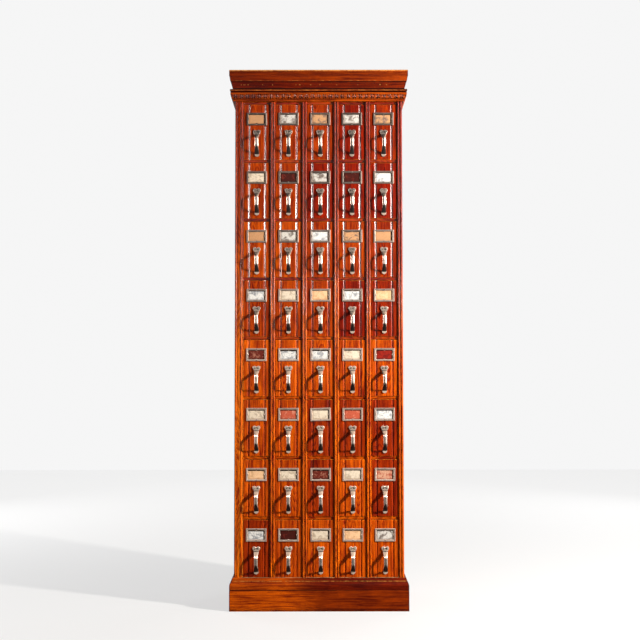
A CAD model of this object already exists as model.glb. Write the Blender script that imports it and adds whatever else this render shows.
import math
import bpy
import mathutils
import numpy as np
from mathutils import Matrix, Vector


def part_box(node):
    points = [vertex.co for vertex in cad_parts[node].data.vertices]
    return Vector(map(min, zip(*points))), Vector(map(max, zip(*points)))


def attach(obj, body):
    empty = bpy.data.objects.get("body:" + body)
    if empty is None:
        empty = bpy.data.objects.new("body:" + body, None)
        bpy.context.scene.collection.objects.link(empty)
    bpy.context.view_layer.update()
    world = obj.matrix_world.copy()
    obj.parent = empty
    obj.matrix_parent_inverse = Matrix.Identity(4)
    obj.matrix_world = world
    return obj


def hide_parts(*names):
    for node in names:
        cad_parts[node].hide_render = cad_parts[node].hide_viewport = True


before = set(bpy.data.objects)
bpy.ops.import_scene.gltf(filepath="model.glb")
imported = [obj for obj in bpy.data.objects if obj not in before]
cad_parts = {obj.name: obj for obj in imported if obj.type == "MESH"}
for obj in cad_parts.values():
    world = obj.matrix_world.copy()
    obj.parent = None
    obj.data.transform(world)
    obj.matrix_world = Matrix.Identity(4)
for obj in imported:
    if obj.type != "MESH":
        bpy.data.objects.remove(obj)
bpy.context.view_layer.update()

mm = 0.001
rng = np.random.default_rng(11)
scene = bpy.context.scene


# Geometry kit: a shell is a grid of rings with its own values for the materials

def arc(cx, cy, radius, start, stop, count):  # circle points from one angle to another, in degrees
    angle = np.radians(np.linspace(start, stop, count))
    return np.stack([cx + radius * np.cos(angle), cy + radius * np.sin(angle)], 1)


def roundCorners(corners, radius, steps=3):
    # Each corner of a closed outline becomes an arc that touches both its edges
    corners = np.asarray(corners, float)
    radius = np.broadcast_to(np.asarray(radius, float), len(corners))[:, None]
    into = corners - np.roll(corners, 1, 0)
    away = np.roll(corners, -1, 0) - corners
    into /= np.linalg.norm(into, axis=1, keepdims=True)
    away /= np.linalg.norm(away, axis=1, keepdims=True)
    turn = np.arctan2(into[:, 0] * away[:, 1] - into[:, 1] * away[:, 0], (into * away).sum(1))[:, None]
    side = np.sign(turn)
    normal = np.stack([-into[:, 1], into[:, 0]], 1) * side
    first = corners - into * radius * np.tan(np.abs(turn) / 2)
    centre = first + normal * radius
    angle = turn * np.linspace(0, 1, steps + 1)
    c, s = np.cos(angle)[..., None], np.sin(angle)[..., None]
    spoke = -(normal * radius)[:, None, :]
    x, y = spoke[..., :1], spoke[..., 1:]
    turned = np.concatenate([x * c - y * s, x * s + y * c], 2)
    return (centre[:, None, :] + turned).reshape(-1, 2)


def spacePoints(profile, most):
    # Adds points along the long edges of a closed outline, about the given distance apart
    loop = np.vstack([profile, profile[:1]])
    run = np.concatenate([[0], np.cumsum(np.linalg.norm(np.diff(loop, axis=0), axis=1))])
    keep = np.concatenate([[True], np.diff(run[:-1]) > 1e-7])
    extra = np.arange(0, run[-1], most)
    near = np.abs(extra[:, None] - run[None, :]).min(1) < most * 0.3
    at = np.sort(np.concatenate([run[:-1][keep], extra[~near]]))
    return np.stack([np.interp(at, run, loop[:, 0]), np.interp(at, run, loop[:, 1])], 1)


def support(profile, reach):  # points close beside the ends of each long edge, which keep masks narrow
    out = []
    for a, b in zip(profile, np.roll(profile, -1, 0)):
        length = np.hypot(*(b - a))
        out.append(a)
        if length > 7 * reach:
            near = np.array([1.2, 2.6]) * reach / length
            out.extend(a + (b - a) * t for t in (*near, *(1 - near[::-1])))
    return np.array(out)


def bendMasks(profile, reach):
    # How far a closed outline turns outwards and inwards, spread along it by a bell curve
    step = np.roll(profile, -1, 0) - profile
    back = np.roll(step, 1, 0)
    length = np.hypot(step[:, 0], step[:, 1])
    turn = np.arctan2(back[:, 0] * step[:, 1] - back[:, 1] * step[:, 0], (back * step).sum(1))
    run = np.concatenate([[0], np.cumsum(length)[:-1]])
    gap = np.abs(run[:, None] - run[None, :])
    gap = np.minimum(gap, length.sum() - gap)
    bend = np.exp(-(gap / reach) ** 2) @ turn
    return np.clip(bend, 0, 1.4) / 1.4, np.clip(-bend, 0, 1.4) / 1.4


def outwards(profile):  # unit normals of a closed outline that runs anticlockwise
    along = np.roll(profile, -1, 0) - np.roll(profile, 1, 0)
    along /= np.maximum(np.linalg.norm(along, axis=1, keepdims=True), 1e-12)
    return np.stack([along[:, 1], -along[:, 0]], 1)


def shell(rings, wear=0.0, grime=0.0, tone=0.5, grain=None, caps=True, finish=0):
    # Quads between neighbouring rings; each ring is closed, and caps fill the first and the last
    m, n = rings.shape[:2]
    i = np.arange(m - 1)[:, None]
    j = np.arange(n)[None, :]
    j2 = (j + 1) % n
    faces = [np.stack([i * n + j, i * n + j2, (i + 1) * n + j2, (i + 1) * n + j], 2).reshape(-1, 4)]
    if caps:
        faces += [np.arange(n)[::-1][None, :], (np.arange(n) + (m - 1) * n)[None, :]]
    full = np.zeros((m, n))
    points = rings.reshape(-1, 3)
    return {
        "points": points, "faces": faces, "finish": finish,
        "wear": (full + wear).ravel(), "grime": (full + grime).ravel(), "tone": (full + tone).ravel(),
        "grain": points.copy() if grain is None else np.broadcast_to(grain, rings.shape).reshape(-1, 3),
    }


def makePiece(name, shells, materials, body, nodes, sharp=38):
    # One mesh from several shells, with their masks as attributes for the materials
    points = np.concatenate([s["points"] for s in shells])
    starts = np.cumsum([0] + [len(s["points"]) for s in shells])
    loops, sizes, finishes = [], [], []
    for s, start in zip(shells, starts):
        for f in s["faces"]:
            loops.append((f + start).ravel())
            sizes.append(np.full(len(f), f.shape[1]))
            finishes.append(np.full(len(f), s["finish"]))
    loops, sizes, finishes = (np.concatenate(x).astype(np.int32) for x in (loops, sizes, finishes))
    mesh = bpy.data.meshes.new(name)
    mesh.vertices.add(len(points))
    mesh.vertices.foreach_set("co", points.astype(np.float32).ravel())
    mesh.loops.add(len(loops))
    mesh.loops.foreach_set("vertex_index", loops)
    mesh.polygons.add(len(sizes))
    mesh.polygons.foreach_set("loop_start", np.concatenate([[0], np.cumsum(sizes)[:-1]]).astype(np.int32))
    mesh.polygons.foreach_set("material_index", finishes)
    mesh.polygons.foreach_set("use_smooth", np.ones(len(sizes), bool))
    for key in ("wear", "grime", "tone"):
        values = np.concatenate([s[key] for s in shells]).astype(np.float32)
        mesh.attributes.new(key, "FLOAT", "POINT").data.foreach_set("value", values)
    grain = np.concatenate([s["grain"] for s in shells]).astype(np.float32)
    mesh.attributes.new("grain", "FLOAT_VECTOR", "POINT").data.foreach_set("vector", grain.ravel())
    mesh.update(calc_edges=True)
    mesh.validate()
    mesh.set_sharp_from_angle(angle=math.radians(sharp))
    piece = bpy.data.objects.new(name, mesh)
    scene.collection.objects.link(piece)
    for material in materials:
        mesh.materials.append(material)
    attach(piece, body)
    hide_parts(*nodes)


def grainOf(points, alongAxis, acrossAxis):
    # Wood coordinates: across the face, into it, and along the board, each board cut from its own place
    depthAxis = 3 - alongAxis - acrossAxis
    grain = np.stack([points[..., acrossAxis], points[..., depthAxis], points[..., alongAxis]], -1)
    middle = grain.reshape(-1, 3).mean(0)
    place = [rng.uniform(-0.045, 0.045), rng.uniform(-0.01, 0.01), rng.uniform(0, 9)]
    return grain - middle + np.array(place)


def beam(profile, low, high, axis, edge=1.0 * mm, pitch=0.02, reach=1.6 * mm, tone=0.5, along=None,
         across=0):
    # A closed profile carried straight along one axis, its ends rounded by drawing the profile in
    wear, grime = bendMasks(profile, reach)
    normal = outwards(profile)
    angle = np.radians([0, 0, 30, 60, 90])
    cut = np.concatenate([edge * (1 - np.sin(angle)), np.zeros(2)])
    run = np.concatenate([edge * (1 - np.cos(angle)), edge + reach * np.array([1, 2.2])])
    rub = np.array([0, 0.6, 1, 0.9, 0.6, 0.2, 0])
    count = max(int((high - low - 2 * run[-1]) / pitch), 1)
    middle = np.linspace(low + run[-1], high - run[-1], count + 1)[1:-1]
    place = np.concatenate([low + run, middle, (high - run)[::-1]])
    cut = np.concatenate([cut, middle * 0, cut[::-1]])
    rub = np.concatenate([rub, middle * 0, rub[::-1]])
    flat = profile[None] - normal[None] * cut[:, None, None]
    middle = (profile.min(0) + profile.max(0)) / 2
    for end in (0, -1):
        flat[end] = middle + (flat[end] - middle) * np.maximum(1 - 3 * mm / (np.ptp(profile, 0) / 2), 0.3)
    c = np.broadcast_to(place[:, None], flat.shape[:2])
    order = {2: (0, 1, 2), 0: (2, 0, 1), 1: (1, 2, 0)}[axis]
    parts = (flat[..., 0], flat[..., 1], c)
    rings = np.stack([parts[k] for k in order], -1)
    grain = grainOf(rings, axis if along is None else along, across)
    if callable(tone):
        tone = tone(rings)
    rub[0] = rub[-1] = 0
    wear = np.maximum(np.broadcast_to(wear, flat.shape[:2]), rub[:, None])
    wear[[0, -1]] = 0
    return shell(rings, wear, np.broadcast_to(grime, wear.shape), tone, grain)


def block(low, high, axis, edge=1.0 * mm, **more):  # a board with all its edges rounded
    pair = {2: (0, 1), 0: (1, 2), 1: (2, 0)}[axis]
    (a0, b0), (a1, b1) = [(p[pair[0]], p[pair[1]]) for p in (low, high)]
    outline = roundCorners([(a0, b0), (a1, b0), (a1, b1), (a0, b1)], edge)
    return beam(outline, low[axis], high[axis], axis, edge=edge, **more)


# Materials: node helpers, then the shared masks as groups, then one short function per finish

def plug(socket, value):  # links another node's output to a socket, or sets a constant there
    if isinstance(value, bpy.types.NodeSocket):
        socket.id_data.links.new(value, socket)
    else:
        socket.default_value = (*value, 1) if socket.type == "RGBA" and len(value) == 3 else value


def addNode(tree, kind, inputs=(), **settings):
    made = tree.nodes.new("ShaderNode" + kind)
    for key, value in settings.items():
        setattr(made, key, value)
    for key, value in dict(inputs).items():
        plug(made.inputs[key], value)
    return made


def treeOf(values):  # the node tree of the first of the values that is a socket
    return next(value for value in values if isinstance(value, bpy.types.NodeSocket)).id_data


def maths(operation, *values, clamp=False):
    made = addNode(treeOf(values), "Math", enumerate(values), operation=operation, use_clamp=clamp)
    return made.outputs[0]


def vectorMaths(operation, *values):
    return addNode(treeOf(values), "VectorMath", enumerate(values), operation=operation).outputs


def plus(*values):
    return maths("ADD", *values)


def minus(*values, clamp=False):
    return maths("SUBTRACT", *values, clamp=clamp)


def times(*values):
    return maths("MULTIPLY", *values)


def mapped(place, **changes):
    return addNode(place.id_data, "Mapping", {"Vector": place, **changes}).outputs[0]


def noiseNode(place, scale, detail=3.0, rough=0.5, stretch=(1, 1, 1), distort=0.0):
    sockets = {"Vector": mapped(place, Scale=stretch), "Scale": scale, "Detail": detail, "Roughness": rough,
               "Distortion": distort}
    return addNode(place.id_data, "TexNoise", sockets).outputs["Fac"]


def rampNode(value, low, high, to=(0.0, 1.0)):
    sockets = {"Value": value, "From Min": low, "From Max": high, "To Min": to[0], "To Max": to[1]}
    return addNode(value.id_data, "MapRange", sockets, interpolation_type="SMOOTHSTEP").outputs[0]


def mixNode(share, a, b, blend="MIX"):
    made = addNode(treeOf((share, a, b)), "Mix", {0: share}, data_type="RGBA", blend_type=blend)
    plug(made.inputs[6], a)
    plug(made.inputs[7], b)
    return made.outputs[2]


def valueOf(tree, name):
    return addNode(tree, "Attribute", attribute_name=name).outputs["Fac"]


def grainIn(tree):
    return addNode(tree, "Attribute", attribute_name="grain").outputs["Vector"]


def newGroup(name, inputs, outputs):
    group = bpy.data.node_groups.new(name, "ShaderNodeTree")
    for key, kind in inputs.items():
        group.interface.new_socket(key, in_out="INPUT", socket_type="NodeSocket" + kind)
    for key in outputs.split():
        group.interface.new_socket(key, in_out="OUTPUT", socket_type="NodeSocketFloat")
    return group, group.nodes.new("NodeGroupInput").outputs, group.nodes.new("NodeGroupOutput").inputs


def figureGroup():
    # Growth rings are equal steps of the distance from a pith behind the face, whose place sways with noise:
    # the cut shows nested arches and straight lines. Fibres, pores and streaks are noise drawn out along
    # the board, and blotches are broad noise
    tree, ins, outs = newGroup("wood_figure", {"Grain": "Vector"}, "Rings Fibre Pores Blotch Streak")
    grain = ins["Grain"]
    sockets = {"Vector": mapped(grain, Scale=(9, 9, 3.2)), "Scale": 1.0, "Detail": 2.0}
    sway = addNode(tree, "TexNoise", sockets).outputs["Color"]
    sway = vectorMaths("SUBTRACT", sway, (0.5, 0.5, 0.5))[0]
    swayed = vectorMaths("ADD", grain, vectorMaths("MULTIPLY", sway, (0.016, 0.016, 0.03))[0])[0]
    xyz = addNode(tree, "SeparateXYZ", {0: swayed}).outputs
    # The pith's distance behind the face changes along the board, up and down by a slow wave
    wave = maths("SINE", times(xyz["Z"], 7.5))
    depth = plus(plus(xyz["Y"], times(wave, 0.017)), 0.026)
    radius = maths("SQRT", plus(maths("POWER", xyz["X"], 2.0), maths("POWER", depth, 2.0)))
    phase = maths("FRACT", times(radius, 260.0))
    plug(outs["Rings"], times(rampNode(phase, 0.25, 0.9), rampNode(phase, 1.0, 0.93)))
    plug(outs["Fibre"], noiseNode(swayed, 1.0, 4.0, 0.65, (820, 820, 14)))
    plug(outs["Pores"], rampNode(noiseNode(swayed, 1.0, 1.0, 0.5, (1500, 1500, 90)), 0.60, 0.68))
    plug(outs["Blotch"], noiseNode(grain, 1.0, 4.0, 0.6, (26, 26, 9), 0.6))
    plug(outs["Streak"], rampNode(noiseNode(swayed, 1.0, 3.0, 0.55, (150, 150, 5)), 0.36, 0.64))
    return tree


def dirtGroup():
    # Edge wear and grime, broken up by noise; scratches are thin lines along two slanting directions,
    # and dust is fine noise, both in patches
    tree, ins, outs = newGroup("age_masks", {"Place": "Vector", "Wear": "Float", "Grime": "Float"},
                               "Worn Dirty Scratch Dust")
    place = ins["Place"]
    patch = noiseNode(place, 55.0, 5.0, 0.65)
    fine = noiseNode(place, 420.0, 3.0, 0.6)
    worn = times(ins["Wear"], plus(times(patch, 0.75), times(fine, 0.35)))
    plug(outs["Worn"], rampNode(worn, 0.30, 0.60))
    plug(outs["Dirty"], rampNode(times(ins["Grime"], plus(patch, 0.45)), 0.15, 0.75))
    lines = [noiseNode(mapped(place, Rotation=turn), 1.0, 1.0, 0.5, (1900, 1900, 16))
             for turn in ((0.5, 0.35, 0.2), (-0.9, -0.2, 0.6))]
    cut = rampNode(maths("MAXIMUM", *lines), 0.72, 0.80)
    plug(outs["Scratch"], times(cut, rampNode(patch, 0.48, 0.62)))
    plug(outs["Dust"], times(rampNode(fine, 0.35, 0.8), rampNode(patch, 0.35, 0.7)))
    return tree


woodFigure, ageMasks = figureGroup(), dirtGroup()


def startMaterial(name):
    material = bpy.data.materials.new(name)
    material.use_nodes = True
    tree = material.node_tree
    place = addNode(tree, "TexCoord").outputs["Object"]
    sockets = {"Place": place, "Wear": valueOf(tree, "wear"), "Grime": valueOf(tree, "grime")}
    masks = addNode(tree, "Group", sockets, node_tree=ageMasks)
    return material, tree, tree.nodes["Principled BSDF"], place, masks.outputs


def setShader(shader, **values):
    for key, value in values.items():
        plug(shader.inputs[key.replace("_", " ")], value)


def bumpFrom(height, distance):
    sockets = {"Height": height, "Strength": 1.0, "Distance": distance}
    return addNode(height.id_data, "Bump", sockets).outputs[0]


def wood(name, dark, light, tint, worn, dirt, rough=0.34, polished=0.4, contrast=1.0, dust=0.0, hollows=1.0):
    # Varnished board: rings, fibres, streaks and blotches mix two colours; then come a tint for each board,
    # dark pores, pale wear and scratches, dirt and dust
    material, tree, shader, place, age = startMaterial(name)
    figure = addNode(tree, "Group", {"Grain": grainIn(tree)}, node_tree=woodFigure).outputs
    fibre = rampNode(figure["Fibre"], 0.25, 0.75)
    blend = plus(times(figure["Rings"], 0.34 * contrast), times(fibre, 0.34 * contrast))
    blend = plus(blend, times(figure["Streak"], 0.36 * contrast))
    blend = plus(blend, times(rampNode(figure["Blotch"], 0.3, 0.7), 0.3))
    colour = mixNode(minus(1.0, blend, clamp=True), dark, light)
    colour = mixNode(rampNode(valueOf(tree, "tone"), 0.0, 1.0, (0.92, 0.0)), colour, tint, "MULTIPLY")
    colour = mixNode(times(figure["Pores"], 0.55), colour, tuple(c * 0.3 for c in dark))
    for mask, share, stain in (("Worn", 0.75, worn), ("Dirty", 0.85, dirt), ("Scratch", 0.55, worn)):
        colour = mixNode(times(age[mask], share), colour, stain)
    if dust:
        colour = mixNode(times(age["Dust"], dust), colour, (0.36, 0.31, 0.25))
    shine = plus(plus(rough, times(figure["Blotch"], 0.22)), times(age["Worn"], 0.1))
    # The varnish is dull on the flats; above the reach of hands it has kept its polish on beads and flutes
    curved = maths("MAXIMUM", valueOf(tree, "wear"), times(valueOf(tree, "grime"), hollows))
    high = rampNode(addNode(tree, "SeparateXYZ", {0: place}).outputs["Z"], 0.95, 1.45, (0.07, 1.0))
    polish = times(times(rampNode(curved, 0.1, 0.6), polished), high)
    height = minus(times(fibre, 0.35), plus(figure["Pores"], age["Scratch"]))
    setShader(shader, Base_Color=colour, Roughness=shine, Specular_IOR_Level=0.03, Coat_Weight=polish,
              Coat_Roughness=0.16, Normal=bumpFrom(height, 0.00012))
    return material


def metal(name, bright, dull, patina, rough=0.3):
    # Nickel plate gone grey: clouds mix two greys with dark specks; rubbed edges are brighter, a shade for
    # each fitting darkens it, and the recesses are black
    material, tree, shader, place, age = startMaterial(name)
    cloud = noiseNode(place, 90.0, 5.0, 0.6)
    specks = noiseNode(place, 900.0, 2.0, 0.6)
    colour = mixNode(rampNode(cloud, 0.35, 0.65), bright, dull)
    colour = mixNode(times(rampNode(specks, 0.58, 0.7), 0.6), colour, patina)
    rubbed = rampNode(valueOf(tree, "wear"), 0.25, 0.9)
    colour = mixNode(times(rubbed, 0.8), colour, tuple(c * k for c, k in zip(bright, (3.0, 2.7, 2.4))))
    shade = rampNode(valueOf(tree, "tone"), 0.0, 1.0, (0.17, 1.0))
    grey = addNode(tree, "CombineXYZ", {0: shade, 1: shade, 2: shade}).outputs[0]
    colour = mixNode(1.0, colour, grey, "MULTIPLY")
    black = rampNode(plus(valueOf(tree, "grime"), times(minus(cloud, 0.5), 0.5)), 0.15, 0.55)
    colour = mixNode(times(black, 0.93), colour, patina)
    shine = plus(rough, plus(times(cloud, 0.2), times(black, 0.2)))
    # Black tarnish is no mirror, and rubbed metal is finely scratched, so both scatter light
    mirror = minus(rampNode(black, 0, 1, (1.0, 0.3)), times(rubbed, 0.6), clamp=True)
    height = minus(times(specks, 0.4), age["Scratch"])
    setShader(shader, Base_Color=colour, Roughness=shine, Metallic=mirror, Specular_IOR_Level=0.2,
              Normal=bumpFrom(height, 0.00006))
    return material


def paper(name, colour, stain, mottle, patches=0.5):
    # An old card: large mottled patches and small stains by noise, and a stained edge
    material, tree, shader, place, age = startMaterial(name)
    spots = noiseNode(grainIn(tree), 46.0, 5.0, 0.66, (1, 1, 1), 0.8)
    small = noiseNode(grainIn(tree), 420.0, 4.0, 0.7)
    made = mixNode(rampNode(spots, patches - 0.04, patches + 0.12), colour, mottle)
    made = mixNode(times(rampNode(small, 0.45, 0.72), 0.55), made, stain)
    made = mixNode(times(age["Dirty"], 0.8), made, stain)
    # The gap over a card that has slipped down is dark
    made = mixNode(rampNode(valueOf(tree, "wear"), 0.4, 0.7), made, (0.018, 0.010, 0.007))
    setShader(shader, Base_Color=made, Roughness=0.75, Specular_IOR_Level=0.05,
              Normal=bumpFrom(plus(spots, times(small, 0.3)), 0.0002))
    return material


caseWood = wood("case_wood", dark=(0.19, 0.008, 0.0004), light=(1.0, 0.20, 0.0015), tint=(0.30, 0.03, 0.03),
                worn=(0.95, 0.32, 0.03), dirt=(0.008, 0.0015, 0.001), polished=0.75, hollows=0.1)
mouldWood = wood("mould_wood", dark=(0.13, 0.005, 0.0004), light=(0.88, 0.145, 0.0012),
                 tint=(0.18, 0.015, 0.02), worn=(0.72, 0.30, 0.06), dirt=(0.010, 0.002, 0.001),
                 polished=0.05)
frontWood = wood("front_wood", dark=(0.20, 0.006, 0.0004), light=(0.98, 0.17, 0.0012),
                 tint=(0.32, 0.018, 0.015), worn=(0.92, 0.28, 0.02), dirt=(0.014, 0.003, 0.001),
                 polished=0.19)
boxWood = wood("box_wood", dark=(0.30, 0.17, 0.07), light=(0.56, 0.38, 0.2), tint=(0.75, 0.65, 0.55),
               worn=(0.62, 0.47, 0.3), dirt=(0.05, 0.03, 0.02), rough=0.5, polished=0.0, contrast=0.7,
               dust=0.5)
plainWood = wood("plain_wood", dark=(0.13, 0.06, 0.022), light=(0.34, 0.19, 0.08), tint=(0.6, 0.5, 0.42),
                 worn=(0.42, 0.27, 0.14), dirt=(0.03, 0.018, 0.01), rough=0.55, polished=0.0, contrast=0.8,
                 dust=0.6)
pewter = metal("pewter", bright=(0.18, 0.157, 0.138), dull=(0.09, 0.077, 0.065),
               patina=(0.008, 0.006, 0.005))
rimMetal = metal("rim_metal", bright=(0.225, 0.19, 0.165), dull=(0.12, 0.10, 0.087),
                 patina=(0.012, 0.009, 0.007), rough=0.4)
screwMetal = metal("screw_metal", bright=(0.07, 0.06, 0.05), dull=(0.03, 0.025, 0.02),
                   patina=(0.006, 0.005, 0.004), rough=0.35)
papers = {  # colour, stain, mottle, and how much noise stays without mottles
    "tan": ((0.56, 0.29, 0.14), (0.40, 0.17, 0.07), (0.50, 0.27, 0.13), 0.45),
    "grey": ((0.66, 0.63, 0.58), (0.20, 0.15, 0.12), (0.17, 0.14, 0.12)),
    "mottled": ((0.60, 0.32, 0.15), (0.16, 0.08, 0.045), (0.20, 0.13, 0.10)),
    "white": ((0.80, 0.79, 0.76), (0.30, 0.29, 0.29), (0.30, 0.31, 0.33)),
    "cream": ((0.76, 0.65, 0.51), (0.40, 0.30, 0.20), (0.48, 0.38, 0.28)),
    "peach": ((0.84, 0.53, 0.30), (0.50, 0.25, 0.12), (0.64, 0.37, 0.19)),
    "empty": ((0.050, 0.004, 0.001), (0.010, 0.002, 0.001), (0.15, 0.014, 0.006), 0.55),
    "red": ((0.30, 0.012, 0.003), (0.06, 0.003, 0.001), (0.16, 0.006, 0.002)),
    "rose": ((0.52, 0.10, 0.05), (0.18, 0.022, 0.010), (0.66, 0.24, 0.15), 0.56),
    "rust": ((0.62, 0.34, 0.22), (0.30, 0.06, 0.03), (0.38, 0.09, 0.05)),
    "brown": ((0.13, 0.014, 0.007), (0.025, 0.004, 0.002), (0.40, 0.15, 0.09), 0.52),
}
papers = {name: paper("paper_" + name, *values) for name, values in papers.items()}
print("materials made")


# The case in metres, with the gap between back boards in millimetres: uprights, rails and boards

case = {
    "half": 0.3665, "front": -0.173975, "back": 0.206025, "backInside": 0.194025, "side": 0.023,
    "liner": 0.014, "low": 0.140, "stack": 2.210, "top": 2.345, "opening": 0.117, "post": 0.022,
    "rail": 0.012, "topRail": 0.010, "railSet": 9 * mm, "bead": 5 * mm,
    "openings": [-0.3295, -0.1905, -0.0515, 0.0875, 0.2265],
    "floors": [1.953, 1.694, 1.435, 1.176, 0.917, 0.658, 0.399, 0.140],
    "backBoards": 6, "backGap": 0.6, "sideTones": (0.5, 0.22), "linerTone": 0.45,
}
half, yf, back, backInside = case["half"], case["front"], case["back"], case["backInside"]
inner = half - case["side"]
linerEdge = -inner + case["liner"]


def smooth(x, a, b):
    t = np.clip((x - a) / (b - a), 0, 1)
    return t * t * (3 - 2 * t)


def bell(x, middle, width):
    return np.exp(-((x - middle) / width) ** 2)


def bead(middle):  # half round whose crest lies in the case's front plane
    return arc(middle, yf + case["bead"], case["bead"], 180, 360, 9)


def spots(x, *pairs):  # points so many millimetres to the right of x and behind the front plane
    return [(x + a * mm, yf + b * mm) for a, b in pairs]


def heel(right, left):  # the back of a side board, its two corners cut off
    return [(right, back - 1 * mm), (right - 1 * mm, back), (left + 1 * mm, back), (left, back - 1 * mm)]


def upright(outline, low, high, tone):
    # The outline is in plan, anticlockwise; the wood is redder above, and hands have worn it below
    outline = support(np.asarray(outline, float), 1.5 * mm)
    made = beam(outline, low, high, 2, edge=1.2 * mm, pitch=0.03,
                tone=lambda rings: tone + 0.45 - 0.72 * smooth(rings[..., 2], 0.9, 1.9))
    upper = smooth(made["points"][:, 2], 1.0, 1.6)
    made["grime"] *= 0.55 + 0.45 * upper
    made["wear"] *= 1 - 0.62 * upper
    return made


leftShell = upright([*bead(-half + 5 * mm), *spots(-half, (10.8, 6), (11.5, 5), (11.6, 2), (12.1, 1.5)),
                     *spots(-inner, (-0.4, 1.5), (0, 1.9)), *heel(-inner, -half)],
                    0, case["top"], case["sideTones"][0])
makePiece("left_side_wood", [leftShell], [caseWood], "case", ["left_side"])

linerShell = upright([*bead(-inner + 5 * mm), *spots(-inner, (10.4, 5.8), (11, 5)),
                      *spots(linerEdge, (-0.7, 5), (0, 5.7)), (linerEdge, backInside), (-inner, backInside)],
                     case["low"], case["stack"], case["linerTone"])
makePiece("left_liner_wood", [linerShell], [caseWood], "case", ["left_liner"])

rightShell = upright([*spots(inner, (0, 5.7), (0.4, 5)), *bead(inner + 5.5 * mm), *spots(inner, (11, 6)),
                      *bead(inner + 16.5 * mm), *spots(half, (-1.2, 5.4), (0, 6.2)), *heel(half, inner)],
                     0, case["top"], case["sideTones"][1])
makePiece("right_side_wood", [rightShell], [caseWood], "case", ["right_side"])

posts = []
for x in case["openings"][1:]:
    m = x - case["post"] / 2
    outline = [*spots(m, (-11, 5.5), (-10.7, 5)), *bead(m - 5.5 * mm), *spots(m, (0, 6)),
               *bead(m + 5.5 * mm), *spots(m, (10.7, 5), (11, 5.5)), (m + 11 * mm, backInside),
               (m - 11 * mm, backInside)]
    posts.append(upright(outline, case["low"], case["stack"], rng.uniform(0.3, 0.6)))
makePiece("partition_wood", posts, [caseWood], "case", ["partitions"])

rails = []
for z in [case["stack"], *case["floors"][:-1]]:
    thick = case["topRail"] if z == case["stack"] else case["rail"]
    for x in case["openings"]:
        rail = block((x, yf + case["railSet"], z - thick), (x + case["opening"], backInside, z), 0,
                     edge=0.8 * mm, across=2, tone=rng.uniform(0.3, 0.7) - 0.4 * (z > 1.3))
        rail["wear"] *= 0.4
        rails.append(rail)
makePiece("shelf_wood", rails, [caseWood], "case", ["shelf_boards"])


def boxed(node, across, material):  # a board along x that fills its node's box
    low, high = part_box(node)
    board = block(tuple(low), tuple(high), 0, across=across)
    makePiece(node + "_wood", [board], [material], "case", [node])


boxed("bottom_board", 1, plainWood)
boxed("top_board", 1, plainWood)
boxed("frieze_board", 2, caseWood)

backs = []
low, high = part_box("back_boards")
boards, gap = case["backBoards"], case["backGap"]
width = (high.x - low.x - (boards - 1) * gap * mm) / boards
for i in range(boards):
    a = low.x + i * (width + gap * mm)
    outline = [(a, low.y), (a + width, low.y), (a + width, high.y - 3 * mm), (a + width - 3 * mm, high.y),
               (a + 3 * mm, high.y), (a, high.y - 3 * mm)]
    backs.append(beam(support(roundCorners(outline, 0.6 * mm, 2), 1.5 * mm), low.z, high.z, 2, pitch=0.05,
                      tone=rng.uniform(0.1, 0.9)))
makePiece("back_wood", backs, [plainWood], "case", ["back_boards"])


# Mouldings go round the front and both sides, each length cut on a mitre at the front corners

def moulding(name, profile, pitch, node, tone, carve, spacing=2 * mm, sharp=38):
    # tone is a function of the place along the front and of height, and carve gives a depth below the
    # profile, dirt and wear; the left leg runs from the back to the front, and the right leg back again
    reach = 1.6 * mm
    profile = spacePoints(support(np.asarray(profile, float) * mm, reach), spacing)
    wear, grime = bendMasks(profile, reach)
    normal = outwards(profile)
    p, z = profile[:, 0], profile[:, 1]
    shells = []
    for leg in (0, -1, 1):
        length = 2 * half if leg == 0 else back - yf
        s = np.linspace(0, 1, int(length / pitch) + 1)[:, None]
        if leg == 0:
            run = -half - p + s * 2 * (half + p)
        else:
            run = back - (s if leg < 0 else 1 - s) * (back - yf + p)
        q, h, w, g = (np.broadcast_to(v, run.shape) for v in (p, z, wear, grime))
        depth, dirt, rub = carve(run, h, q)
        q = q - depth * normal[:, 0]
        h = h - depth * normal[:, 1]
        rings = np.stack([run, yf - q, h] if leg == 0 else [leg * (half + q), run, h], -1)
        grain = np.stack([h, q, run], -1) + np.array([rng.uniform(-0.03, 0.03), 0, rng.uniform(0, 9)])
        # Wear and dirt gather at the mitres
        ends = np.exp(-np.minimum(s, 1 - s) * length / (1.5 * mm))
        w = np.maximum(np.maximum(w * (1 - dirt), rub), 0.5 * ends)
        g = np.maximum(np.maximum(g, dirt), ends * 0.8)
        level = tone(run * (leg == 0), h) + 0.08 * leg
        shells.append(shell(rings[:, ::-1], w[:, ::-1], g[:, ::-1], level[:, ::-1], grain[:, ::-1]))
    makePiece(name, shells, [mouldWood], "case", [node], sharp=sharp)


shoulder = np.radians(np.arange(0, 91, 15))
plinthFace = [
    (0, 0), (17.5, 0), (19, 1.5), (19, 88.5), (17.5, 90), (19, 91.5),
    *zip(11 + 8 * np.cos(shoulder), 123 - 18 * (1 - np.sin(shoulder))),
    *(arc(9.5, 125.5, 2.5, -60, 80, 7)), (9.4, 128.4), (7.6, 138.6), (6, 140), (0, 140),
]


def plinthMarks(run, z, q):
    # The groove is choked with dirt on the left and fades to the right; the foot is scuffed and dark
    groove = bell(z, 0.090, 2.4 * mm) * (1.05 - smooth(run, -0.05, 0.3))
    foot = 0.55 * (1 - smooth(z, 0.004, 0.022)) * (z > 0.0025)
    band = smooth(z, 0.1235, 0.126) * (1 - smooth(z, 0.1285, 0.130))
    edge = 1 - smooth(z, 0.0005, 0.0025)
    return 0 * z, np.maximum(groove, foot), np.maximum(0.75 * band, 0.8 * edge)


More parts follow.
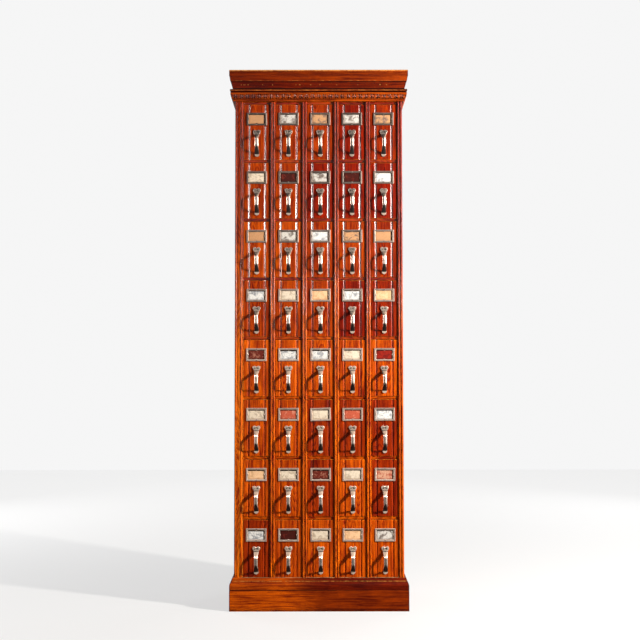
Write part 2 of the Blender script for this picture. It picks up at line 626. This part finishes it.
moulding("plinth_wood", plinthFace, 6 * mm, "plinth",
         lambda run, z: 1.0 - 0.69 * smooth(run, -0.18, 0.04) - 0.27 * smooth(z, 0.088, 0.094), plinthMarks,
         spacing=3 * mm)

bedCurve = np.radians(np.arange(0, 91, 11.25))
bedFace = [
    (0, 2210), (6, 2210), *arc(6, 2214, 4, -90, 80, 8), (7.2, 2218.2), (10, 2219),
    *zip(10 + 9 * np.sin(bedCurve), 2219 + 18 * (1 - np.cos(bedCurve))), (20, 2237), (20, 2246), (19, 2247),
    (0, 2247),
]
carving = {"pitch": 26, "deep": 3.0, "middle": 2.2290, "egg": (4.0, 6.6), "ring": (8.4, 10.0)}


def eggAndDart(run, z, q):
    # Eggs in raised rings, a dart between each two: the highest of three height maps, in one band
    pitch, (eggX, eggZ), (ringX, ringZ) = carving["pitch"], carving["egg"], carving["ring"]
    x = np.abs((run / (pitch * mm)) % 1 - 0.5) * pitch * mm
    h = z - carving["middle"]
    inside = smooth(z, 2.2185, 2.2197) * (1 - smooth(z, 2.2368, 2.2374))
    egg = np.hypot(x / (eggX * mm), (h - 0.5 * mm) / (eggZ * mm))
    ring = np.hypot(x / (ringX * mm), (h - 0.5 * mm) / (ringZ * mm))
    eggHeight = 0.75 * np.sqrt(np.clip(1 - egg ** 2, 0, 1))
    ringHeight = bell(ring, 0.80, 0.17)
    dartHeight = 0.9 * bell(x, pitch / 2 * mm, 0.9 * mm + 0.10 * np.clip(h + 7 * mm, 0, 1))
    height = np.clip(np.maximum.reduce([eggHeight, ringHeight, dartHeight]), 0, 1)
    light = 0.68 * np.maximum(ringHeight, 0.8 * dartHeight) * inside
    depth = inside * (1 - height) * carving["deep"] * mm
    dirt = np.maximum(inside * smooth(1 - height, 0.3, 0.9) * 0.9, smooth(z, 2.2445, 2.2465))
    return depth, dirt, np.maximum(smooth(light, 0.35, 0.9), 0.55 * (1 - smooth(z, 2.2135, 2.218)))


moulding("bed_wood", bedFace, 1.3 * mm, "bed_moulding", lambda run, z: 0.5 + 0.22 * smooth(run, -0.4, 0.35),
         eggAndDart, spacing=1.1 * mm, sharp=60)

astragalFace = [(0, 2250), (16, 2250), *arc(16, 2256, 6, -80, 80, 13), (16, 2262), (0, 2262)]


def astragalMarks(run, z, q):
    # Its crest is rubbed pale, and dust and wax lie black against the boards above and below
    crest = bell(z, 2.2555, 1.7 * mm)
    return 0 * z, np.maximum(smooth(z, 2.2585, 2.2605), 1 - smooth(z, 2.2505, 2.2515)), crest * (q > 17 * mm)


moulding("astragal_wood", astragalFace, 12 * mm, "astragal_moulding", lambda run, z: 0.12 + 0 * z,
         astragalMarks)

step = np.arange(9)
crownFace = [
    (0, 2264), (9.5, 2264), (10.7, 2264.9), (16, 2291), (17.2, 2292.2),
    *zip(19.5 + 5.5 * (step / 8 + np.sin(np.pi * step / 4) / 9), 2295 + 3 * step),
    (25, 2332.5), (24, 2333.25), (25, 2334), (25, 2343.4), (23.6, 2345), (0, 2345),
]
nailRuns = rng.uniform(-0.36, 0.36, 14)


def crownMarks(run, z, q):
    # Filled nail holes along the lower band, dirt in the hollows, a rubbed line and a rubbed top edge
    near = np.abs(run[..., None] - nailRuns[None, None]).min(-1)
    nail = np.exp(-(near / (4.2 * mm)) ** 2 - ((z - 2.281) / (3.6 * mm)) ** 2)
    dirt = np.maximum(1 - smooth(z, 2.265, 2.270), bell(z, 2.2935, 2.2 * mm))
    dirt = np.maximum(dirt, 0.7 * bell(z, 2.318, 1.5 * mm) * (q > 18 * mm))
    line = 0.75 * bell(z, 2.2980, 1.8 * mm)
    rub = np.maximum.reduce([nail, line, smooth(z, 2.336, 2.341) * (q > 23 * mm)])
    return 0.5 * mm * nail, dirt * (1 - nail), rub


moulding("crown_wood", crownFace, 2.5 * mm, "crown_moulding",
         lambda run, z: 0.21 * smooth(z, 2.290, 2.300) + 0.17 * smooth(run, -0.4, 0.35), crownMarks,
         spacing=2.5 * mm)
print("case made")


# The forty drawers

drawer = {  # millimetres from the middle of the front's lower edge
    "half": 57, "thick": 20, "high": 244.6, "behind": 6, "lift": 0.4,
    "flute": 35, "fluteHalf": 5, "fluteDepth": 3.5,
    "side": (48.5, 56.5), "sideHigh": 222, "sideLow": 140, "hold": 70, "back": 361.5, "bottom": (4, 9),
    "tails": 5, "tailPitch": 44.4, "tailSide": (49, 57),
    "frame": (44, 28, 36.5, 20.5), "frameZ": 180.6, "card": (38.5, 22.5), "pullZ": 13,
    "pullScrew": (7, 4.5, 122, 3.2, 1.8, 0.9), "frameScrew": (24.25, 3.9, 2, 1),
}


def frontShell(x0, y0, z0, tone):
    d = drawer
    # Each flute is a blunt V with a little roundness at its mouth and at its foot
    a, deep, edge = d["fluteHalf"], d["fluteDepth"], 1.1
    groove = np.array([(-a, 0), (-a + 0.35, 0.12), (-0.9, deep - 0.45), (-0.35, deep - 0.08),
                       (0.35, deep - 0.08), (0.9, deep - 0.45), (a - 0.35, 0.12), (a, 0)])
    flutes = [groove + [x, 0] for x in (-d["flute"], d["flute"])]
    w, t = d["half"] - 0.1, d["thick"]
    outline = [(-w, edge), *arc(-w + edge, edge, edge, 210, 270, 3), *flutes[0], *flutes[1],
               *arc(w - edge, edge, edge, 270, 360, 4), (w, t), (-w, t)]
    outline = support(np.array(outline) * mm + [x0, y0], 1.3 * mm)
    made = beam(outline, z0, z0 + d["high"] * mm, 2, edge=edge * mm, reach=1.3 * mm, tone=tone)
    # Old wax fills the flutes of the upper rows, and years of wiping have cleared those within reach
    x, y = made["points"][:, 0], made["points"][:, 1]
    inFlute = smooth(np.abs(np.abs(x - x0) - d["flute"] * mm), 5.2 * mm, 4.4 * mm) * (y < y0 + 4 * mm)
    upper = smooth(z0, 0.9, 1.4)
    made["grime"] = np.maximum(made["grime"] * (0.25 + 0.5 * upper), 0.5 * upper * inFlute)
    return made


def boxShells(x0, y0, z0):
    d = drawer
    at = np.array([x0, y0, z0])
    a, b = d["side"]
    front, end = d["thick"] + 0.05, d["back"]
    # The top edge falls to the back along a quarter of a cosine
    t = np.linspace(1, 0, 17)
    y = front + d["hold"] + (end - front - d["hold"]) * t
    top = zip(y, d["sideLow"] + (d["sideHigh"] - d["sideLow"]) * np.cos(t * math.pi / 2))
    outline = [(front, 0), (end, 0), *top, (front, d["sideHigh"])]
    outline = support(np.array(outline) * mm + [y0, z0], 1.3 * mm)
    shells = []
    for s in (-1, 1):
        low, high = sorted((s * a * mm, s * b * mm))
        tone = rng.uniform(0.2, 0.8)
        shells.append(beam(outline, x0 + low, x0 + high, 0, edge=0.8 * mm, along=1, across=2, tone=tone))
        low, high = sorted(s * v * mm for v in d["tailSide"])
        for k in range(d["tails"]):
            z = 15 + d["tailPitch"] * k
            tail = np.array([(8, z), (front, z + 2), (front, z + 22.2), (8, z + 24.2)]) * mm + [y0, z0]
            shells.append(beam(tail, x0 + low, x0 + high, 0, edge=0.15 * mm, along=1, across=2, tone=tone))
    under, over = d["bottom"]
    inside = a - 0.1
    rear = [(-inside, end - 10, over + 0.1), (inside, end, d["sideLow"])]
    board = [(-inside, front + 0.05, under), (inside, end - 0.1, over)]
    for (low, high), axis, across, edge in ((rear, 0, 2, 0.8), (board, 1, 0, 0.4)):
        shells.append(block(at + np.array(low) * mm, at + np.array(high) * mm, axis, across=across,
                            edge=edge * mm, tone=rng.uniform(0.2, 0.8)))
    return shells


def frameShell(x0, y0, z0, turn, shift, tone):
    # The frame's section goes round a rectangle; a cusp points into the window from each side's middle
    outerX, outerZ, innerX, innerZ = (v * mm for v in drawer["frame"])
    t = np.linspace(-1, 1, 24, endpoint=False)
    one = np.ones(len(t))
    ringX = np.concatenate([t, one, -t, -one])
    ringZ = np.concatenate([-one, t, one, -t])
    sideX, sideZ = np.abs(ringX) == 1, np.abs(ringZ) == 1
    cusp = 3.0 * mm * bell(np.where(sideZ, ringX * innerX, ringZ * innerZ), 0, 3.0 * mm) * ~(sideX & sideZ)
    section = [  # how far from the window to the rim, how proud, worn, dirty
        (0.0, 0.02, 0, 0.9), (0.0, 2.6, 0.1, 0.7), (0.05, 3.3, 0.6, 0.0), (0.1, 3.6, 0.9, 0.0),
        (0.3, 3.62, 0.3, 0.1), (0.72, 3.85, 0.3, 0.0), (0.83, 4.0, 0.9, 0.0), (0.86, 3.95, 0.9, 0.0),
        (1.0, 2.4, 0.4, 0.0), (1.0, 0.02, 0, 0.8),
    ]
    rings, wear, grime = [], [], []
    for share, proud, w, g in section[::-1]:
        near = cusp * (1 - share) if share < 0.7 else 0
        x = ringX * (innerX + (outerX - innerX) * share) - np.where(sideX, np.sign(ringX) * near, 0)
        z = ringZ * (innerZ + (outerZ - innerZ) * share) - np.where(sideZ, np.sign(ringZ) * near, 0)
        rings.append(np.stack([x, np.full_like(x, -proud * mm), z], -1))
        wear.append(np.full(len(x), w))
        grime.append(np.full(len(x), g))
    rings = np.array(rings)
    c, s = math.cos(turn), math.sin(turn)
    x, z = rings[..., 0] * c - rings[..., 2] * s, rings[..., 0] * s + rings[..., 2] * c
    placed = np.stack([x + x0 + shift, rings[..., 1] + y0, z + z0 + drawer["frameZ"] * mm], -1)
    # Hands and light from the right have left its right side the palest
    level = tone + 0.5 * smooth(rings[..., 0], outerX - 3.4 * mm, outerX - 1.2 * mm)
    return shell(placed, np.array(wear), np.array(grime), np.clip(level, 0, 1), rings, caps=False, finish=2)


def cardShell(x0, y0, z0, tone):
    # A card a little bowed between the frame's sides
    a, b = (v * mm for v in drawer["card"])
    u = np.concatenate([np.linspace(-1, 0.7, 10), np.linspace(0.75, 1, 9)])
    bow = rng.uniform(0.1, 0.5) * mm
    lean = rng.uniform(-0.3, 0.3) * mm
    ring = np.concatenate([u, u[::-1]])
    low = np.concatenate([0 * u + 1, 0 * u])
    # It has slipped down and to the left in its frame, more to the left in the upper rows
    upper = z0 > 1.1
    slipped = rng.uniform(14, 17) * mm + 2 * mm * upper
    short = rng.uniform(30, 33) * mm - 2 * mm * upper
    rows = []
    for v in (-1, -0.5, 0, 0.5, *np.linspace(0.62, 1, 9)):
        y = -0.35 * mm - bow * (1 - ring ** 2) * (1 - 0.4 * v) - lean * v * ring * 0.3 - low * 0.25 * mm
        rows.append(np.stack([ring * a, y, np.full_like(ring, v * b)], -1))
    rings = np.array(rows)
    placed = rings + np.array([x0, y0, z0 + drawer["frameZ"] * mm])
    x, z = rings[..., 0], rings[..., 2]
    edge = np.maximum(np.abs(x) / a, np.abs(z) / b)
    gap = np.clip(np.maximum((z - slipped) / mm, (x - short) / mm), 0, 1)
    grain = rings + np.array([rng.uniform(0, 9), 0, rng.uniform(0, 9)])
    return shell(placed, gap, np.clip(edge * 3 - 2, 0, 1), tone, grain)


def strapPath():
    # The strap's middle line and its outer direction, with an arc at each bend
    knots = np.array([(-2.25, 0.0), (-2.25, 12), (-35.75, 41), (-35.75, 78), (-2.25, 98), (-2.25, 104)])
    bends = [roundCorners(knots[k - 1:k + 2], r, 5)[6:12] for k, r in enumerate((4, 8, 8, 4), 1)]
    line = np.concatenate([knots[:1], *bends, knots[-1:]])
    run = np.concatenate([[0], np.cumsum(np.linalg.norm(np.diff(line, axis=0), axis=1))])
    even = np.arange(0, run[-1], 2.6)
    near = np.abs(even[:, None] - run[None, :]).min(1) < 1.2
    at = np.sort(np.concatenate([run, even[~near]]))
    line = np.stack([np.interp(at, run, line[:, 0]), np.interp(at, run, line[:, 1])], 1)
    along = np.gradient(line, axis=0)
    along /= np.linalg.norm(along, axis=1, keepdims=True)
    return line, np.stack([-along[:, 1], along[:, 0]], 1)


def pullShells(x0, y0, z0, tone):
    line, out = strapPath()
    z = line[:, 1]
    width = np.interp(z, [0, 12, 41, 78, 98, 104], [10, 10, 7.5, 7.5, 11, 11])
    width = np.where(z < 10, np.sqrt(np.clip(10 ** 2 - (10 - z) ** 2, 1.5, None)), width)
    # The dark flat of each arm narrows to the ridge of the grip, and a facet falls from it to each edge
    flat = np.interp(z, [12, 41, 78, 98], [10, 0.35, 0.35, 11])
    flat = np.where(z < 12, 20, flat)
    t, e = 2.25, 0.7  # half the strap's thickness, and the radius of its edges
    fall, diagonal = 0.4, e * math.sqrt(0.5)
    crest = t - np.minimum(fall * np.clip(width - flat, 0, None), 3.0)
    crease = np.minimum(flat, width - e)
    far = width - e
    rightHalf = [  # across, up (None: on the facet), worn, black
        (crease, None, 0.5, 0), (far * 0.2 + crease * 0.8, None, 0.1, 0),
        (far * 0.6 + crease * 0.4, None, 0.2, 0), (far, None, 0.8, 0),
        (far + diagonal, crest - e + diagonal, 1, 0), (width, crest - e, 0.8, 0), (width, -t + e, 0.6, 0),
        (far + diagonal, -t + e - diagonal, 0.3, 0), (far, -t, 0, 0.7),
    ]
    leftHalf = [(-x, *more) for x, *more in rightHalf[::-1]]
    columns = []
    for x, y, *masks in (*leftHalf, (0 * far, None, 0, 0), *rightHalf, (0 * far, -t, 0, 0.8)):
        if y is None:
            y = t - fall * np.clip(np.abs(x) - crease, 0, None)
        columns.append([np.broadcast_to(v, z.shape) for v in (x, y, *masks)])
    across, up, wear, dark = (np.array(v).T for v in zip(*columns))
    rings = np.stack([across, line[:, :1] + up * out[:, :1], line[:, 1:] + up * out[:, 1:]], -1) * mm
    # The lower arm is black with tarnish between its rims, and hands have rubbed the upper arm bright
    z, outer = line[:, 1:], up > 0
    span = np.interp(z, [11, 13, 22, 33, 46], [0, 9.8, 10.4, 6.8, 0])
    black = (1 - smooth(np.abs(across), span - 0.7, span + 0.3)) * (span > 0) * outer
    black = np.maximum(black, np.clip(1.6 - np.abs(z - 96.5) / 1.6, 0, 1) * outer)
    outside = np.abs(across) > crease[:, None] * (1.6 - 1.2 * tone)
    upper = np.clip(2.4 - np.abs(z - 89) / 7.5, 0, 1) * np.where(outside, 1, np.clip(3 * tone - 1.7, 0, 1))
    upper = np.maximum(upper, 1 - smooth(z, 9, 13) + 0 * across)
    wear = np.maximum(wear * (1 - black), 0.9 * upper * outer)
    # Its left facets keep more tarnish, most of all out of reach in the upper rows
    left = (1.42 - 1.3 * tone) * smooth(-across, 0.3, 1.2) * outer
    left = left * smooth(z, 38, 44) * (1 - smooth(z, 94, 99))
    place = np.array([x0, y0, z0 + drawer["pullZ"] * mm])
    strap = shell(rings + place, wear, np.clip(np.maximum(black, left) + dark, 0, 1), tone, rings)
    # The plate above, with a lobe for each screw and a dip between them
    lobe = arc(8.2, 110.7, 8.3, -40, 171, 15)
    foot = [(-11.5, 100), (-11, 98), (11, 98), (11.5, 100)]
    outline = np.vstack([lobe, (lobe * [-1, 1])[::-1][1:], foot])
    outline = outline[::-1, ::-1] * mm + [z0 + drawer["pullZ"] * mm, x0]
    plate = beam(outline, y0 - 4.6 * mm, y0, 1, edge=0.9 * mm, reach=0.8 * mm, along=2, across=0, tone=tone)
    plate["wear"] = np.maximum(plate["wear"], 0.3 + 0.9 * (tone - 0.5))
    return [strap, plate]


def screwShell(x, y, z, radius, high, slot, turn):
    # A dome of rings about its axis; the slot, where there is one, is a dark groove across it
    angle = np.linspace(0, 2 * np.pi, 18, endpoint=False)
    dome = [(1.0, 0.0), (1.0, 0.25), (0.93, 0.45), (0.75, 0.72), (0.5, 0.9), (0.25, 0.98), (0.02, 1.0)]
    rings, grime = [], []
    for r, h in dome:
        a = radius * r * np.cos(angle)
        b = radius * r * np.sin(angle)
        across = np.abs(a * math.sin(turn) + b * math.cos(turn))
        cut = np.clip(1.4 - across / (slot / 2), 0, 1) if slot else 0 * a
        rings.append(np.stack([x + a, y - high * h + cut * high * 0.55, z + b], -1))
        grime.append(cut)
    return shell(np.array(rings), 0.6, np.array(grime), rng.uniform(0, 1), finish=1)


looks = {
    "redder": "r1_c4 r2_c3 r2_c4 r2_c5 r4_c4 r4_c5 r6_c3 r6_c4 r6_c5 r7_c3 r7_c5 r8_c1".split(),
    "turned": "r6_c3", "turn": 1.6, "shifted": "r5_c1", "shift": -1.2, "split": "r4_c3",
    "tones": ([0, 3, 4, 7], [0.42, 0.50, 0.78, 0.70]), "toneSpread": 0.12, "redness": (0.35, 0.5),
    "toneByColumn": 0.06, "tarnish": 0.15, "tarnishByRow": 0.13, "tarnishSpread": 0.1,
    "cards": [
        "tan grey mottled grey mottled", "cream empty grey empty white", "tan grey white mottled tan",
        "white cream peach white peach", "brown white white cream red", "cream rose cream rose white",
        "peach cream brown cream rust", "white empty cream peach grey",
    ],
}
drawerNodes = {"front": ["front"], "box": ["sides", "back", "bottom"],
               "fittings": ["label_frame", "pull", "screws"], "card": ["label_card"]}

for row, kinds in enumerate(looks["cards"]):
    for column, kind in enumerate(kinds.split()):
        name = f"r{row + 1}_c{column + 1}"
        body = "drawer_" + name
        x0 = case["openings"][column] + case["opening"] / 2
        y0 = yf + drawer["behind"] * mm
        z0 = case["floors"][row] + drawer["lift"] * mm
        split = name == looks["split"]
        nodes = {key: [body + "_" + part for part in parts] if split else [body]
                 for key, parts in drawerNodes.items()}
        # The upper fronts are a deeper red, the lower ones more orange, and some are cut from a redder board
        spread, cloud = looks["toneSpread"], looks["tarnishSpread"]
        tone = np.interp(row, *looks["tones"]) + rng.uniform(-spread, spread)
        redder = (name in looks["redder"]) * rng.uniform(*looks["redness"])
        tone -= redder + looks["toneByColumn"] * (column - 1) * (row < 3)
        tarnish = looks["tarnish"] + looks["tarnishByRow"] * row + rng.uniform(-cloud, cloud)
        tarnish = np.clip(tarnish, 0, 1)
        front = frontShell(x0, y0, z0, tone)
        makePiece("front_" + name, [front], [frontWood], body, nodes["front"])
        makePiece("box_" + name, boxShells(x0, y0, z0), [boxWood], body, nodes["box"])
        turn = math.radians(looks["turn"] if name == looks["turned"] else rng.uniform(-0.3, 0.3))
        shift = (looks["shift"] if name == looks["shifted"] else rng.uniform(-0.25, 0.25)) * mm
        parts = [frameShell(x0, y0, z0, turn, shift, tarnish), *pullShells(x0, y0, z0, 0.5 + tarnish / 2)]
        for s in (-1, 1):
            x, y, z, radius, high, slot = (v * mm for v in drawer["pullScrew"])
            parts.append(screwShell(x0 + s * x, y0 - y, z0 + z, radius, high, slot, rng.uniform(0, math.pi)))
            beside, y, radius, high = drawer["frameScrew"]
            z = z0 + (drawer["frameZ"] + s * beside) * mm
            parts.append(screwShell(x0, y0 - y * mm, z, radius * mm, high * mm, 0, 0))
        metals = [pewter, screwMetal, rimMetal]
        makePiece("fittings_" + name, parts, metals, body, nodes["fittings"])
        card = cardShell(x0, y0, z0, rng.uniform(0, 1))
        makePiece("card_" + name, [card], [papers[kind]], body, nodes["card"])
print("drawers made")


# Floor, light and camera

floorMesh = bpy.data.meshes.new("floor")
floorMesh.from_pydata([(-6, -8, 0), (6, -8, 0), (6, 6, 0), (-6, 6, 0)], [], [(0, 1, 2, 3)])
floor = bpy.data.objects.new("floor", floorMesh)
scene.collection.objects.link(floor)
floorPaint = bpy.data.materials.new("floor")
floorPaint.use_nodes = True
tree = floorPaint.node_tree
# The camera sees the floor grow paler with distance, until it meets the background
away = vectorMaths("LENGTH", addNode(tree, "TexCoord").outputs["Object"])["Value"]
glow = times(addNode(tree, "LightPath").outputs["Is Camera Ray"], rampNode(away, 0.6, 5.0, (0.6, 0.80)))
setShader(tree.nodes["Principled BSDF"], Base_Color=(0.22, 0.22, 0.22), Roughness=0.8,
          Specular_IOR_Level=0.1, Emission_Color=(1.0, 1.0, 1.0), Emission_Strength=glow)
floorMesh.materials.append(floorPaint)


def areaLamp(name, place, target, size, power, colour=(1, 1, 1)):
    data = bpy.data.lights.new(name, "AREA")
    data.shape = "RECTANGLE"
    data.size, data.size_y = size
    data.energy = power
    data.color = colour
    lamp = bpy.data.objects.new(name, data)
    scene.collection.objects.link(lamp)
    lamp.location = place
    aim = mathutils.Vector(target) - mathutils.Vector(place)
    lamp.rotation_euler = aim.to_track_quat("-Z", "Y").to_euler()
    return lamp


areaLamp("key", (2.85, -1.67, 2.2), (0, -0.17, 1.0), (0.16, 0.2), 322, (1, 0.95, 0.88))
areaLamp("left", (-2.3, -2.8, 2.25), (0, -0.17, 0.8), (0.3, 0.3), 9, (1, 0.8, 0.65))
# Two tall panels for the varnish of the upper rows alone: they light no surface and are only mirrored
for name, place, power in (("sheen_right", (2.9, -1.15, 2.2), 830), ("sheen_left", (-2.9, -1.15, 2.2), 500)):
    panel = areaLamp(name, place, (0, -0.17, 1.7), (0.9, 1.5), power, (1, 0.88, 0.86))
    panel.visible_diffuse = False
areaLamp("back_left", (-3.0, 2.6, 2.0), (0, 0, 1.2), (1.6, 2.4), 60)
areaLamp("back_right", (2.6, 3.2, 2.2), (0, 0, 1.2), (1.6, 2.4), 50)

# The world is pale where it is seen or mirrored, and dark as a light on the surfaces
world = bpy.data.worlds.new("world")
scene.world = world
world.use_nodes = True
tree = world.node_tree
path = addNode(tree, "LightPath").outputs
seen = maths("MAXIMUM", path["Is Camera Ray"], path["Is Glossy Ray"])
seen = maths("MAXIMUM", seen, path["Is Transmission Ray"])
level = addNode(tree, "MapRange", {"Value": seen, "To Min": 0.026, "To Max": 1.0}).outputs["Result"]
setShader(tree.nodes["Background"], Color=(0.92, 0.92, 0.92), Strength=level)

camera = bpy.data.cameras.new("camera")
camera.lens, camera.sensor_width, camera.shift_x, camera.shift_y = 57.282, 36, 0, 0
cameraObject = bpy.data.objects.new("camera", camera)
scene.collection.objects.link(cameraObject)
cameraObject.location = (0.0047, -4.6, 1.0308)
cameraObject.rotation_euler = (math.radians(90 + 2.816), math.radians(0.07), 0)
scene.camera = cameraObject
scene.view_settings.view_transform = "Standard"
